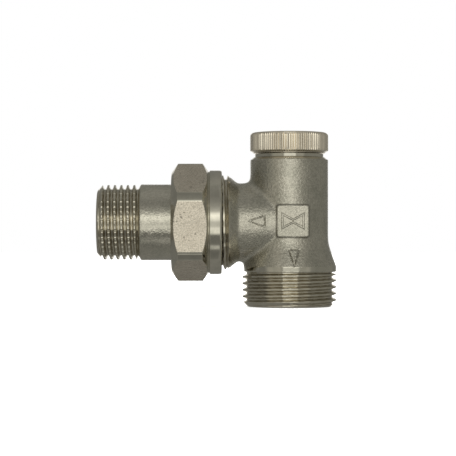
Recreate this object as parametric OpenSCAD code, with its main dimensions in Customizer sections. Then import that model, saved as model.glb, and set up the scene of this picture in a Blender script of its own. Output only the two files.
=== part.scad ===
// Angle lockshield valve for a radiator: a forged body with an external-thread pipe port below,
// a side branch with a union nut and a tailpiece, and a screwed headwork under a knurled cap.
// The origin is the centre of the lower port's face. The spindle rises along +Z, and the
// tailpiece points along -X.

/* [Body] */
// Radius of the upright tube
tube_r = 10.9; // [10.7:0.1:11.2]
// Height of the upright tube's top rim
tube_top = 41.8; // [41.5:0.1:42.4]
// Height of the branch and tailpiece axis
branch_z = 23.6; // [23.2:0.1:23.7]
// Radius of the side branch
branch_r = 10.85; // [10.5:0.05:10.85]
// Radius of the machined land above the lower thread
land_r = 13; // [12.8:0.05:13.05]
// Width of the square pad on the front
pad_w = 8.8; // [6:0.1:10]
// How far the flow arrows stand out of the wall
arrow_rise = 0.35; // [0.2:0.05:0.5]

/* [Threads] */
// Pitch of the G 3/4 and G 1/2 threads
pipe_pitch = 1.814; // [1.814]
// Crest radius of the G 3/4 threads
g34_r = 13.2205; // [13.2205]
// Crest radius of the G 1/2 thread
g12_r = 10.4775; // [10.4775]
// Pitch of the spindle thread and of the cap thread
fine_pitch = 1; // [1]
// Radial room between a male crest and its female bore
thread_gap = 0.1; // [0.06:0.01:0.1]

/* [Union nut] */
// Hexagon size across flats
nut_af = 30; // [29:0.5:30]
// Radius to which the hexagon's corners are turned
nut_corner_r = 16.5; // [16:0.05:17]
// How far the hexagon is turned away from having a flat to the front
nut_clock = 4.2; // [0:0.1:30]
// Radius of the round collar
nut_collar_r = 14.6; // [14.4:0.1:14.9]

/* [Tailpiece] */
// Radius of the smooth shank
shank_r = 10.65; // [10.65:0.05:10.8]
// Radius of the waterway
tail_bore_r = 7; // [6:0.1:7.2]

/* [Headwork] */
// How far the plug lifts from closed to fully open
lift = 3; // [2:0.5:3]
// Hexagon key size of the spindle socket
key_af = 5; // [4:0.5:5]
// Radius of the spindle's sealing section
spindle_r = 5.5; // [5.4:0.05:5.6]
// Radial running clearance of turning pieces
run_gap = 0.05; // [0.03:0.01:0.08]

/* [Cap] */
// Radius over the knurl
cap_r = 10.95; // [10.5:0.05:11.2]
// Height of the cap's top face
cap_top = 48.8; // [48.6:0.1:49.4]
// Number of knurl ridges
knurl_count = 100; // [60:4:100]
// Depth of the knurl
knurl_depth = 0.3; // [0.1:0.05:0.35]

/* [Hidden] */
$fn = 96;

forged = [0.58, 0.56, 0.51];
turned = [0.76, 0.74, 0.69];
raw_brass = [0.80, 0.66, 0.38];
rubber = [0.10, 0.10, 0.11];
spring_steel = [0.62, 0.63, 0.65];

// Whitworth form: flank half angle 27.5 degrees, so the depth is 0.6403 of the pitch
pipe_depth = 0.6403 * pipe_pitch;
fine_depth = 0.55;

// Body: heights on the upright axis, and distances out along the branch
port_thread = 9.7;
land_top = 11.3;
cone_top = 17.5;
branch_cone = 14.3;
branch_thread = 17;
branch_end = 26.4;
socket_r = 8;
socket_top = 8.2;
throat_r = 6;
seat_z = 16;
seat_rim_r = 6.9;
chamber_r = 8.6;
chamber_top = 31.4;
bonnet_r = 9;
o_ring_pocket_r = 9.75;
o_ring_pocket_z = 40.4;
side_r = 7.5;
nose_bore_r = 9.6;
nose_floor = 21.9;

// Headwork
flange_r = 9.85;
flange_top = 42.8;
bonnet_floor = 31.9;
neck_r = 8;
neck_top = 46.2;
shoulder_z = 36.6;
spindle_top = 41.65;
seal_section = 4.9;
spindle_thread_r = 4.5;
spindle_foot = 28.6;
journal_r = 2.4;
journal_end = 23.8;
clip_z = 25.3;
washer_z = 44.7;
circlip_z = 45.3;
groove_w = 1.3;
ring_wire = 0.62;
upper_ring_z = spindle_top - 1.3;
lower_ring_z = spindle_top - 3.5;

// Plug stack, closed on its seat
seal_z = seat_z + 0.02;
disc_z = 17.6;
disc_top = 20.8;
disc_r = 7.4;
seal_r = 7.2;
washer_t = 0.72;
screw_r = 2;
head_r = 3.4;
head_h = 1.4;

// Cap
cap_floor = 42.9;
cap_ceiling = 47;
cap_skirt_z = 43.3;

// Union, as distances out along the branch
nut_front = 18.9;
nut_collar_end = 22.5;
hex_front = 22.85;
nut_back = 33;
nut_shoulder = 29.8;
collar_front = branch_end + 0.05;
collar_back = 29;
collar_r = 11.6;
nose_front = 22.2;
nose_r = nose_bore_r - run_gap;
shank_end = 41.8;
tail_end = 53.7;
tail_ring_u = 24.5;
tail_ring_wire = 0.72;
tail_groove_w = 1.7;

// ---- Helpers ----

// Turns a child made along +Z so that it runs out along the branch, with its +X side up
module along_branch() {
    translate([0, 0, branch_z])
        rotate([0, -90, 0])
            children();
}

// Outline points of one thread ridge, centred at height z
function ridge(crest, depth, pitch, z) =
    let (flank = depth * tan(27.5), flat_half = (pitch - 2 * flank) / 4)
    [[crest - depth, z - flat_half - flank], [crest, z - flat_half],
     [crest, z + flat_half], [crest - depth, z + flat_half + flank]];

// Outline points of a row of ridges, from height z upwards
function ridges(crest, depth, pitch, z, count) =
    [for (i = [0 : count - 1]) each ridge(crest, depth, pitch, z + i * pitch)];

// A solid of revolution from outline points given as [radius, height]
module turned_part(points) {
    rotate_extrude()
        polygon(points);
}

// A flat ring between two heights
module washer(inner_r, outer_r, z0, z1) {
    translate([0, 0, z0])
        difference() {
            cylinder(r = outer_r, h = z1 - z0);
            translate([0, 0, -1])
                cylinder(r = inner_r, h = z1 - z0 + 2);
        }
}

// A round-section ring
module o_ring(centre_r, wire_r, z) {
    translate([0, 0, z])
        rotate_extrude()
            translate([centre_r, 0])
                circle(r = wire_r, $fn = 32);
}

// A snap ring with a gap on its -Y side
module snap_ring(inner_r, outer_r, z0, z1, gap_w) {
    difference() {
        washer(inner_r, outer_r, z0, z1);
        translate([-gap_w / 2, -outer_r - 1, z0 - 1])
            cube([gap_w, outer_r, z1 - z0 + 2]);
    }
}

// ---- Body ----

module body_upright() {
    rim = 0.9;
    turned_part(concat(
        [[0, 0], [11.8, 0], [g34_r - pipe_depth, 0.5]],
        ridges(g34_r, pipe_depth, pipe_pitch, 1.55, 5),
        [[g34_r - pipe_depth, port_thread], [land_r - 0.4, port_thread], [land_r, port_thread + 0.4],
         [land_r, land_top], [tube_r, cone_top], [tube_r, tube_top - rim],
         [tube_r - rim, tube_top], [0, tube_top]]));
}

module body_branch() {
    along_branch()
        turned_part(concat(
            [[0, 0], [branch_r, 0], [branch_r, branch_cone], [g34_r - 0.8, branch_thread - 0.9],
             [g34_r - pipe_depth, branch_thread - 0.85]],
            ridges(g34_r, pipe_depth, pipe_pitch, 17.35, 5),
            [[g34_r - pipe_depth, branch_end - 0.3], [11.7, branch_end], [0, branch_end]]));
}

// Square pad with rounded corners, standing on the front of the upright tube
module body_pad() {
    corner = 1;
    front = tube_r + 0.3;
    translate([0.6, 0, branch_z + 0.3])
        rotate([90, 0, 0])
            translate([0, 0, 6])
                linear_extrude(front - 6)
                    union() {
                        square([pad_w - 2 * corner, pad_w], center = true);
                        square([pad_w, pad_w - 2 * corner], center = true);
                        for (sx = [-1, 1], sz = [-1, 1])
                            translate([sx, sz] * (pad_w / 2 - corner))
                                circle(r = corner);
                    }
}

// Two triangles tip to tip, the plain drawing symbol for a valve
module pad_symbol() {
    reach = 2.9;
    rise = 1.9;
    neck = 0.35;
    outline = [[-reach, -rise], [0, -neck], [reach, -rise], [reach, rise], [0, neck], [-reach, rise]];
    translate([0.6, 0, branch_z + 0.3])
        rotate([90, 0, 0])
            translate([0, 0, 8])
                linear_extrude(tube_r + 0.55 - 8)
                    polygon(outline);
}

// Raised flow arrow across the branch, its tip pointing at the union
module branch_arrow() {
    intersection() {
        along_branch()
            cylinder(r = branch_r + arrow_rise, h = branch_cone - 1);
        translate([0, 0, branch_z + 0.25])
            rotate([90, 0, 0])
                linear_extrude(branch_r + 2)
                    polygon([[-7.35, -1.4], [-7.35, 1.4], [-11.05, 0]]);
    }
}

// Raised flow arrow on the cone, its tip pointing at the lower port
module port_arrow() {
    lift_r = arrow_rise;
    intersection() {
        turned_part([[0, 10], [land_r + lift_r, 10], [land_r + lift_r, land_top],
                     [tube_r + lift_r, cone_top], [0, cone_top]]);
        rotate([90, 0, 0])
            linear_extrude(land_r + 2)
                polygon([[-0.35, 15.9], [2.15, 15.9], [0.9, 12.1]]);
    }
}

// Everything hollow on the upright axis: pipe socket, throat, seat, chamber and headwork thread
module body_hollow() {
    turned_part([[0, -1], [9.7, -1], [9.35, 0], [socket_r, 3.2], [socket_r, socket_top],
                 [throat_r, socket_top], [throat_r, seat_z], [seat_rim_r, seat_z],
                 [seat_rim_r + 0.3, seat_z - 1], [chamber_r, seat_z - 1], [chamber_r, chamber_top],
                 [bonnet_r + run_gap, chamber_top], [bonnet_r + run_gap, o_ring_pocket_z],
                 [o_ring_pocket_r, o_ring_pocket_z], [o_ring_pocket_r, tube_top + 1],
                 [0, tube_top + 1]]);
}

// The side waterway and the pocket for the tailpiece's nose
module branch_hollow() {
    along_branch()
        turned_part([[0, 0], [side_r, 0], [side_r, nose_floor], [nose_bore_r, nose_floor],
                     [nose_bore_r, branch_end - 0.5], [nose_bore_r + 0.6, branch_end + 0.1],
                     [nose_bore_r + 0.6, branch_end + 1], [0, branch_end + 1]]);
}

module body() {
    color(forged)
        difference() {
            union() {
                body_upright();
                body_branch();
                body_pad();
                pad_symbol();
                branch_arrow();
                port_arrow();
            }
            body_hollow();
            branch_hollow();
        }
}

// ---- Headwork ----

module bonnet() {
    slot_w = 1.8;
    slot_d = 1;
    bore = spindle_r + run_gap;
    groove_r = bore + 0.55;
    color(turned)
        difference() {
            turned_part(concat(
                [[spindle_thread_r + run_gap, bonnet_floor], [bonnet_r - 0.6, bonnet_floor]],
                ridges(bonnet_r, fine_depth, fine_pitch, bonnet_floor + 1, 7),
                [[8.6, 39.8], [8.6, tube_top], [flange_r, tube_top], [flange_r, flange_top],
                 [neck_r - fine_depth, flange_top]],
                ridges(neck_r, fine_depth, fine_pitch, flange_top + 0.8, 3),
                [[neck_r - fine_depth, neck_top], [bore, neck_top],
                 [bore, circlip_z + 0.65], [groove_r, circlip_z + 0.65],
                 [groove_r, circlip_z - 0.02], [bore, circlip_z - 0.02],
                 [bore, shoulder_z], [spindle_thread_r + run_gap, shoulder_z]]));
            for (turn = [0, 90])
                rotate(turn)
                    translate([-neck_r - 1, -slot_w / 2, neck_top - slot_d])
                        difference() {
                            cube([2 * neck_r + 2, slot_w, slot_d + 1]);
                            translate([neck_r + 1, slot_w / 2, -1])
                                cylinder(r = groove_r + 0.3, h = slot_d + 3);
                        }
        }
}

module bonnet_o_ring() {
    color(rubber)
        o_ring(9.19, 0.53, 41);
}

module stop_washer() {
    color(raw_brass)
        washer(3.4, spindle_r, washer_z, washer_z + 0.55);
}

module spindle_circlip() {
    color(spring_steel)
        snap_ring(4.9, spindle_r + 0.55, circlip_z, circlip_z + 0.6, 2.4);
}

// ---- Spindle ----

module spindle() {
    socket_depth = 4.4;
    groove_root = spindle_r - 2 * ring_wire + 0.04;
    section_z = spindle_top - seal_section;
    clip_root = 1.75;
    half = groove_w / 2;
    color(turned)
        difference() {
            turned_part(concat(
                [[0, journal_end], [journal_r, journal_end], [journal_r, clip_z - 0.5],
                 [clip_root, clip_z - 0.5], [clip_root, clip_z + 0.5], [journal_r, clip_z + 0.5],
                 [journal_r, spindle_foot], [spindle_thread_r - fine_depth, spindle_foot]],
                ridges(spindle_thread_r, fine_depth, fine_pitch, spindle_foot + 0.8, 7),
                [[spindle_thread_r - fine_depth, section_z], [spindle_r, section_z],
                 [spindle_r, lower_ring_z - half], [groove_root, lower_ring_z - half],
                 [groove_root, lower_ring_z + half], [spindle_r, lower_ring_z + half],
                 [spindle_r, upper_ring_z - half], [groove_root, upper_ring_z - half],
                 [groove_root, upper_ring_z + half], [spindle_r, upper_ring_z + half],
                 [spindle_r, spindle_top - 0.3], [spindle_r - 0.3, spindle_top],
                 [0, spindle_top]]));
            translate([0, 0, spindle_top - socket_depth])
                cylinder(r = key_af / 2 / cos(30), h = socket_depth + 1, $fn = 6);
        }
}

module spindle_o_ring_upper() {
    color(rubber)
        o_ring(spindle_r - ring_wire + 0.03, ring_wire - 0.03, upper_ring_z);
}

module spindle_o_ring_lower() {
    color(rubber)
        o_ring(spindle_r - ring_wire + 0.03, ring_wire - 0.03, lower_ring_z);
}

// Wire ring that hangs the plug on the spindle and lets the spindle turn in it
module spindle_clip() {
    color(spring_steel)
        snap_ring(1.8, 3.1, clip_z - 0.4, clip_z + 0.4, 1.2);
}

// ---- Plug ----

module plug() {
    hub_r = 4.4;
    clip_room = 3.25;
    journal_bore = journal_r + run_gap;
    color(raw_brass)
        turned_part([[screw_r + 0.05, disc_z], [disc_r - 0.4, disc_z], [disc_r, disc_z + 0.4],
                     [disc_r, disc_top - 0.8], [disc_r - 0.8, disc_top], [hub_r, disc_top + 0.6],
                     [hub_r, spindle_foot - 0.35], [hub_r - 0.3, spindle_foot - 0.05],
                     [journal_bore, spindle_foot - 0.05], [journal_bore, clip_z + 0.55],
                     [clip_room, clip_z + 0.55], [clip_room, clip_z - 0.55],
                     [journal_bore, clip_z - 0.55], [journal_bore, journal_end - 0.2],
                     [0, journal_end - 0.2], [0, 22.6], [screw_r + 0.05, 22.6]]);
}

module plug_seal() {
    color(rubber)
        washer(screw_r + 0.1, seal_r, seal_z, disc_z);
}

module plug_washer() {
    color(raw_brass)
        washer(screw_r + 0.1, 5.2, seal_z - washer_t, seal_z);
}

module plug_screw() {
    head_top = seal_z - washer_t;
    slot_w = 0.8;
    slot_d = 0.7;
    color(raw_brass)
        difference() {
            turned_part([[0, head_top - head_h], [head_r - 0.4, head_top - head_h],
                         [head_r, head_top - head_h + 0.4], [head_r, head_top],
                         [screw_r, head_top], [screw_r, 22.2], [0, 22.2]]);
            translate([-head_r - 1, -slot_w / 2, head_top - head_h - 1])
                cube([2 * head_r + 2, slot_w, slot_d + 1]);
        }
}

// ---- Cap ----

// Star-shaped outline with one point to a ridge
module knurl_outline() {
    steps = 2 * knurl_count;
    polygon([for (i = [0 : steps - 1])
        let (r = cap_r - knurl_depth * (i % 2), a = 360 * i / steps)
        [r * cos(a), r * sin(a)]]);
}

module cap() {
    bore = neck_r + thread_gap;
    edge = 0.8;
    rim_slope = 1.2;
    color(turned)
        difference() {
            intersection() {
                turned_part([[0, cap_floor], [9.9, cap_floor], [cap_r + 0.05, cap_skirt_z],
                             [cap_r + 0.05, cap_top - edge],
                             [cap_r + 0.05 - edge * rim_slope, cap_top], [0, cap_top]]);
                translate([0, 0, cap_floor - 1])
                    linear_extrude(cap_top - cap_floor + 2)
                        knurl_outline();
            }
            turned_part(concat(
                [[0, cap_floor - 1], [bore + 0.5, cap_floor - 1], [bore + 0.5, cap_floor + 0.1],
                 [bore, cap_floor + 0.5]],
                [for (i = [0 : 1]) each [
                    [bore, cap_floor + 1 + i], [bore + 0.5, cap_floor + 1.25 + i],
                    [bore + 0.5, cap_floor + 1.35 + i], [bore, cap_floor + 1.6 + i]]],
                [[bore, cap_ceiling], [0, cap_ceiling]]));
        }
}

module cap_seal() {
    color(rubber)
        washer(5.6, neck_r - 0.1, neck_top + 0.05, cap_ceiling - 0.05);
}

// ---- Union ----

module nut_hexagon() {
    front_bevel = 1.3;
    back_bevel = 1.7;
    intersection() {
        rotate(-nut_clock)
            translate([0, 0, hex_front])
                cylinder(r = nut_af / 2 / cos(30), h = nut_back - hex_front, $fn = 6);
        turned_part([[0, hex_front], [14.3, hex_front], [nut_corner_r, hex_front + front_bevel],
                     [nut_corner_r, nut_back - back_bevel], [13.9, nut_back], [0, nut_back]]);
    }
}

module union_nut() {
    bore = g34_r + thread_gap;
    groove = 0.42;
    round_edge = 0.5;
    color(turned)
        along_branch()
            difference() {
                union() {
                    nut_hexagon();
                    turned_part([[0, nut_front], [nut_collar_r - round_edge, nut_front],
                                 [nut_collar_r, nut_front + round_edge],
                                 [nut_collar_r, nut_collar_end - 0.2],
                                 [14.3, nut_collar_end], [14.3, hex_front + 1], [0, hex_front + 1]]);
                }
                turned_part(concat(
                    [[0, nut_front - 1], [bore + groove, nut_front - 1],
                     [bore + groove, nut_front + 0.2], [bore, nut_front + 0.7]],
                    [for (i = [0 : 3]) each [
                        [bore, nut_front + 1 + i * pipe_pitch],
                        [bore + groove, nut_front + 1.3 + i * pipe_pitch],
                        [bore + groove, nut_front + 1.6 + i * pipe_pitch],
                        [bore, nut_front + 1.9 + i * pipe_pitch]]],
                    [[bore, nut_shoulder], [0, nut_shoulder]]));
                translate([0, 0, nut_shoulder - 1])
                    cylinder(r = shank_r + thread_gap, h = nut_back - nut_shoulder + 2);
            }
}

// Low-friction ring between the nut's shoulder and the tailpiece's collar
module slip_washer() {
    color(raw_brass)
        along_branch()
            washer(shank_r + 0.15, 12.6, collar_back + 0.05, nut_shoulder - 0.05);
}

module tailpiece() {
    groove_root = nose_r - 2 * tail_ring_wire + 0.04;
    groove_0 = tail_ring_u - tail_groove_w / 2;
    groove_1 = tail_ring_u + tail_groove_w / 2;
    lug_w = 2.5;
    lug_h = 1.4;
    lug_length = 7;
    lug_start = 45.3;
    color(turned)
        along_branch() {
            turned_part(concat(
                [[tail_bore_r, nose_front], [nose_r - 0.5, nose_front], [nose_r, nose_front + 0.5],
                 [nose_r, groove_0], [groove_root, groove_0], [groove_root, groove_1],
                 [nose_r, groove_1], [nose_r, collar_front], [collar_r, collar_front],
                 [collar_r, collar_back - 0.5], [collar_r - 0.5, collar_back],
                 [shank_r, collar_back], [shank_r, shank_end - 0.3], [shank_r - 0.3, shank_end],
                 [g12_r - pipe_depth, shank_end + 0.6]],
                ridges(g12_r, pipe_depth, pipe_pitch, 43.2, 6),
                [[g12_r - pipe_depth, tail_end - 0.4], [9, tail_end], [tail_bore_r + 0.3, tail_end],
                 [tail_bore_r, tail_end - 0.3]]));
            for (side = [90, 270])
                rotate(side)
                    translate([tail_bore_r - lug_h, -lug_w / 2, lug_start])
                        cube([lug_h + 0.8, lug_w, lug_length]);
        }
}

module tailpiece_o_ring() {
    color(rubber)
        along_branch()
            o_ring(nose_r - tail_ring_wire + 0.02, tail_ring_wire - 0.02, tail_ring_u);
}

body();
bonnet();
bonnet_o_ring();
stop_washer();
spindle_circlip();
spindle();
spindle_o_ring_upper();
spindle_o_ring_lower();
spindle_clip();
plug();
plug_seal();
plug_washer();
plug_screw();
cap();
cap_seal();
union_nut();
slip_washer();
tailpiece();
tailpiece_o_ring();
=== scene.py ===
"""Looks of an angle lockshield radiator valve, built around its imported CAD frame.

Shapes are worked out in millimetres and turned into metres as each mesh is made. Turned pieces are
grids of rows along a profile and columns round an axis, so that their threads are true helices. The
forging is one implicit surface, meshed and then drawn onto the exact surface.
"""
import math

import bpy
import numpy as np
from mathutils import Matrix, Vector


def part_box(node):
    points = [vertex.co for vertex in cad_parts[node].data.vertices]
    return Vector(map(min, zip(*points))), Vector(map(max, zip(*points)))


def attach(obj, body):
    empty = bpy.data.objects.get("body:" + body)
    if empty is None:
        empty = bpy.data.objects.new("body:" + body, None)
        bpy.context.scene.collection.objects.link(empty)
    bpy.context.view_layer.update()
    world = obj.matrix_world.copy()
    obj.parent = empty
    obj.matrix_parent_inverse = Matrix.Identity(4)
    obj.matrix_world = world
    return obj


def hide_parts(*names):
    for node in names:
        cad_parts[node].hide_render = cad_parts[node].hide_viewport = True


MM = 0.001
HAIR = 0.01
SEED = 7
TAU = 2 * math.pi
SHARP_ANGLE = math.radians(38)

# Whitworth pipe threads. A phase is where a crest passes at turn 0, along the thread's axis.
PITCH = 1.814
FLANK_ANGLE = math.radians(27.5)
THREAD_DEPTH = 0.6403 * PITCH
CREST_WIDENING = 1.15
G34_CREST = 13.2205
G34_ROOT = G34_CREST - THREAD_DEPTH
G12_CREST = 10.4775
G12_ROOT = G12_CREST - THREAD_DEPTH
PORT_PHASE = 0.164
UNION_PHASE = 16.99
TAIL_PHASE = 43.46
NUT_CLOCK = math.radians(5.2)

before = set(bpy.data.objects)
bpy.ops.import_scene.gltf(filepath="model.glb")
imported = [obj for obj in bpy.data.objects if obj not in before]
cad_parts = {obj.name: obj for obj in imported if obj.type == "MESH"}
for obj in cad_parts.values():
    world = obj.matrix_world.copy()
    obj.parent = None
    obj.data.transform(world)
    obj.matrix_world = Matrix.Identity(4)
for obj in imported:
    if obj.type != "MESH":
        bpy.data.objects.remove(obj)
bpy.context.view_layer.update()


def corners_mm(node):
    """A CAD node's lowest and highest corners in millimetres."""
    low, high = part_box(node)
    return np.array(low) / MM, np.array(high) / MM


BODY_LOW, BODY_HIGH = corners_mm("body")
CAP_LOW, CAP_HIGH = corners_mm("cap")
NUT_LOW, NUT_HIGH = corners_mm("union_nut")
TAIL_LOW, TAIL_HIGH = corners_mm("tailpiece")
BRANCH_Z = (TAIL_LOW[2] + TAIL_HIGH[2]) / 2
TUBE_TOP = BODY_HIGH[2]
BRANCH_END = -BODY_LOW[0]
NUT_FRONT, NUT_BACK = -NUT_HIGH[0], -NUT_LOW[0]
TAIL_END = -TAIL_LOW[0]


# ---------------------------------------------------------------- mesh making

def new_object(name, points, faces, body, replaced, materials, face_material=None):
    """A smooth mesh object from millimetre points, riding on a CAD body in place of CAD nodes."""
    mesh = bpy.data.meshes.new(name)
    mesh.from_pydata((np.asarray(points) * MM).tolist(), [], np.asarray(faces).tolist())
    mesh.validate()
    mesh.shade_smooth()
    mesh.set_sharp_from_angle(angle=SHARP_ANGLE)
    for material in materials:
        mesh.materials.append(material)
    if face_material is not None:
        mesh.polygons.foreach_set("material_index", np.asarray(face_material, np.int32).ravel())
    mesh.update()
    piece = bpy.data.objects.new(name, mesh)
    bpy.context.scene.collection.objects.link(piece)
    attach(piece, body)
    for node in replaced:
        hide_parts(node)
    return piece


def rounded_rows(points, edge, steps=3, hold=0.06, hold_share=0.04, round_share=0.4):
    """Rows of a profile with its corners rounded.

    points is (count, columns, 2) as radius and distance, or (count, 2) for a plain turned profile,
    and is closed. edge gives each corner's rounding length, 0 for a corner that stays sharp. A row
    is held close beside each corner, so that the stretch between two corners shades as straight.
    """
    points = np.asarray(points, float)
    if points.ndim == 2:
        points = points[:, None, :]
    rows = []
    for i, here in enumerate(points):
        to_back, to_ahead = points[i - 1] - here, points[(i + 1) % len(points)] - here
        len_back = np.linalg.norm(to_back, axis=-1, keepdims=True) + 1e-9
        len_ahead = np.linalg.norm(to_ahead, axis=-1, keepdims=True) + 1e-9
        hold_back = to_back * np.minimum(hold / len_back, hold_share)
        hold_ahead = to_ahead * np.minimum(hold / len_ahead, hold_share)
        if edge[i] <= 0:
            rows += [here + hold_back, here, here + hold_ahead]
            continue
        start = here + to_back * (np.minimum(edge[i], round_share * len_back) / len_back)
        end = here + to_ahead * (np.minimum(edge[i], round_share * len_ahead) / len_ahead)
        rows.append(start + hold_back)
        for s in np.linspace(0, 1, steps + 1):
            rows.append((1 - s) ** 2 * start + 2 * s * (1 - s) * here + s * s * end)
        rows.append(end + hold_ahead)
    return rows


def ridge_height(distance, turn, phase, depth=THREAD_DEPTH, pitch=PITCH, ease=0.2):
    """Height above the thread root of a right-handed ridge, whose crest passes phase at turn 0."""
    off = (distance - phase) / pitch - turn / TAU
    off = np.abs(off - np.round(off)) * pitch
    flank = depth * math.tan(FLANK_ANGLE)
    flat_half = (pitch - 2 * flank) / 4
    share = np.clip((flat_half + flank - off) / flank, 0, 1)
    eased = share * share * (3 - 2 * share)
    height = (1 - ease) * share + ease * eased
    return depth * np.minimum(height * CREST_WIDENING, 1)


def smooth_step(value, low, high):
    """0 below low and 1 above high, with an eased rise between them."""
    share = np.clip((value - low) / (high - low), 0, 1)
    return share * share * (3 - 2 * share)


def thread_rows(start, end, radius, columns, spacing=0.09):
    """Rows from start to end whose radius is radius(distance, turn)."""
    count = max(2, int(abs(end - start) / spacing))
    turn = np.arange(columns) / columns * TAU
    return [np.stack([radius(u, turn), np.full(columns, u)], -1)
            for u in np.linspace(start, end, count + 1)]


def spin(rows, columns):
    """Grid points of rows turned about +Z: each row is (1 or columns, 2) as radius and distance."""
    turn = np.arange(columns) / columns * TAU
    grid = np.stack([np.broadcast_to(row, (columns, 2)) for row in rows])
    return np.stack([grid[..., 0] * np.cos(turn), grid[..., 0] * np.sin(turn), grid[..., 1]], -1)


def ring_faces(row_count, columns):
    """Quads of a grid that closes both round the axis and along its profile."""
    i, j = np.meshgrid(np.arange(row_count), np.arange(columns), indexing="ij")
    i2, j2 = (i + 1) % row_count, (j + 1) % columns
    return np.stack([i * columns + j, i * columns + j2, i2 * columns + j2, i2 * columns + j],
                    -1).reshape(-1, 4)


def to_branch(points):
    """Points made about +Z, laid out along the branch with their +X side up."""
    return np.stack([-points[..., 2], points[..., 1], points[..., 0] + BRANCH_Z], -1)


def turned(name, rows, columns, body, replaced, materials, branch=False, pick=None):
    """A turned piece from its closed rows.

    pick(radius, distance, turn) gives the number of each face's material.
    """
    grid = spin(rows, columns)
    faces = ring_faces(len(rows), columns)
    index = None
    if pick is not None:
        flat = grid.reshape(-1, 3)
        centre = flat[faces].mean(1)
        index = pick(np.hypot(centre[:, 0], centre[:, 1]), centre[:, 2],
                     np.arctan2(centre[:, 1], centre[:, 0]))
    points = to_branch(grid) if branch else grid
    return new_object(name, points.reshape(-1, 3), faces, body, replaced, materials, index)


# ---------------------------------------------------------------- implicit forging

TUBE_R = 10.9
BRANCH_R = 10.95
LAND_R = 12.97
LAND_SHIFT = 0.24
LAND_TOP = 11.3
LAND_FLOOR = 9.72
CONE_TOP = 17.6
FLARE_START = 14.5
FLARE_SLOPE = 0.80
FILLET = 3.2
BRANCH_STEP = 0.05
FORGING_END = 15.6
FOOT_EDGE = 0.45
PAD_CENTRE = (0.6, BRANCH_Z + 0.3)
PAD_HALF = 4.4
PAD_CORNER = 0.7
PAD_FRONT = 11.2
PAD_DRAFT = 0.18
PAD_EDGE = 0.5
PAD_FILLET = 0.7
ARROW_RISE = 0.46
ARROW_EDGE = 0.14
MOAT = 0.16
MOAT_EDGE = 0.1
SIDE_ARROW_Z = BRANCH_Z + 0.25
ARROWS = (((-7.35, SIDE_ARROW_Z - 1.4), (-7.35, SIDE_ARROW_Z + 1.4), (-11.05, SIDE_ARROW_Z)),
          ((-0.35, 15.9), (2.15, 15.9), (0.9, 12.1)))
THROAT_R = 6.0
CHAMBER_R, CHAMBER_FLOOR, CHAMBER_TOP = 8.6, 15.0, 31.4
SEAT_R, SEAT_TOP = 6.9, 16.0
HEADWORK_HOLE_R = 9.05
SIDE_BORE_R = 7.5
RIM_HEIGHT = 0.65
VOXEL = 0.2


def soft_min(a, b, k):
    """The smaller of two distances, with their corner rounded over about k."""
    k = np.maximum(k, 1e-3)
    h = np.maximum(k - np.abs(a - b), 0) / k
    return np.minimum(a, b) - h * h * h * k / 6


def soft_max(a, b, k):
    return -soft_min(-a, -b, k)


def tube_surface(rho, z):
    """Distance from the upright tube, which widens below in a cone to the machined land."""
    cone = LAND_R + (z - LAND_TOP) * (TUBE_R - LAND_R) / (CONE_TOP - LAND_TOP)
    radius = soft_max(np.minimum(cone, LAND_R + HAIR), np.full_like(z, TUBE_R), 1.2)
    cosine = np.where(z < CONE_TOP, 0.93, 1.0)
    return (rho - radius) * cosine


def branch_surface(rho, u):
    """Distance from the side branch, which swells a little and flares towards its thread."""
    swell = (BRANCH_R - TUBE_R + BRANCH_STEP) * smooth_step(u, 3, 9)
    flare = BRANCH_R + (u - FLARE_START) * FLARE_SLOPE
    radius = soft_max(TUBE_R - BRANCH_STEP + swell, flare, 0.8)
    cosine = np.where(u > FLARE_START, 0.8, 1.0)
    return (rho - radius) * cosine


def triangle(px, pz, corners):
    """Signed distance to the edges' lines of a triangle in the plane."""
    inside = np.full_like(px, -1e9)
    area = sum(corners[i - 1][0] * corners[i][1] - corners[i][0] * corners[i - 1][1]
               for i in range(3))
    for i in range(3):
        (x0, z0), (x1, z1) = corners[i - 1], corners[i]
        length = math.hypot(x1 - x0, z1 - z0)
        side = ((px - x0) * (z1 - z0) - (pz - z0) * (x1 - x0)) / length * (1 if area > 0 else -1)
        inside = np.maximum(inside, side)
    return inside


def pad_block(x, y, z):
    """Signed distance of the square pad on the front, with drafted sides."""
    side_x = np.abs(x - PAD_CENTRE[0]) - PAD_HALF + PAD_CORNER
    side_z = np.abs(z - PAD_CENTRE[1]) - PAD_HALF + PAD_CORNER
    plan = np.hypot(np.maximum(side_x, 0), np.maximum(side_z, 0)) - PAD_CORNER
    plan = plan + np.minimum(np.maximum(side_x, side_z), 0)
    plan = plan - PAD_DRAFT * (PAD_FRONT + y)
    return np.maximum(soft_max(plan, -y - PAD_FRONT, PAD_EDGE), y)


def with_arrow(outer, wall, plan, y):
    """outer with an arrow of this plan raised from the front wall, and a shallow moat round it."""
    in_front = y + 2
    raised = np.maximum(soft_max(plan, wall - ARROW_RISE, ARROW_EDGE), in_front)
    moat = np.maximum(np.abs(plan - MOAT) - MOAT, -MOAT - wall)
    return np.minimum(soft_max(outer, -np.maximum(moat, in_front), MOAT_EDGE), raised)


def waterways(bore, rho_branch, u, z):
    """Signed distance of the throat, the chamber round its seat and the two openings into it."""
    throat = bore - THROAT_R
    chamber = np.maximum(np.maximum(bore - CHAMBER_R, CHAMBER_FLOOR - z), z - CHAMBER_TOP)
    seat = np.maximum(bore - SEAT_R, z - SEAT_TOP)
    chamber = np.maximum(chamber, -seat)
    headwork_hole = np.maximum(bore - HEADWORK_HOLE_R, CHAMBER_TOP - z)
    side_bore = np.maximum(rho_branch - SIDE_BORE_R, -u)
    return np.minimum(np.minimum(throat, chamber), np.minimum(headwork_hole, side_bore))


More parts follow.
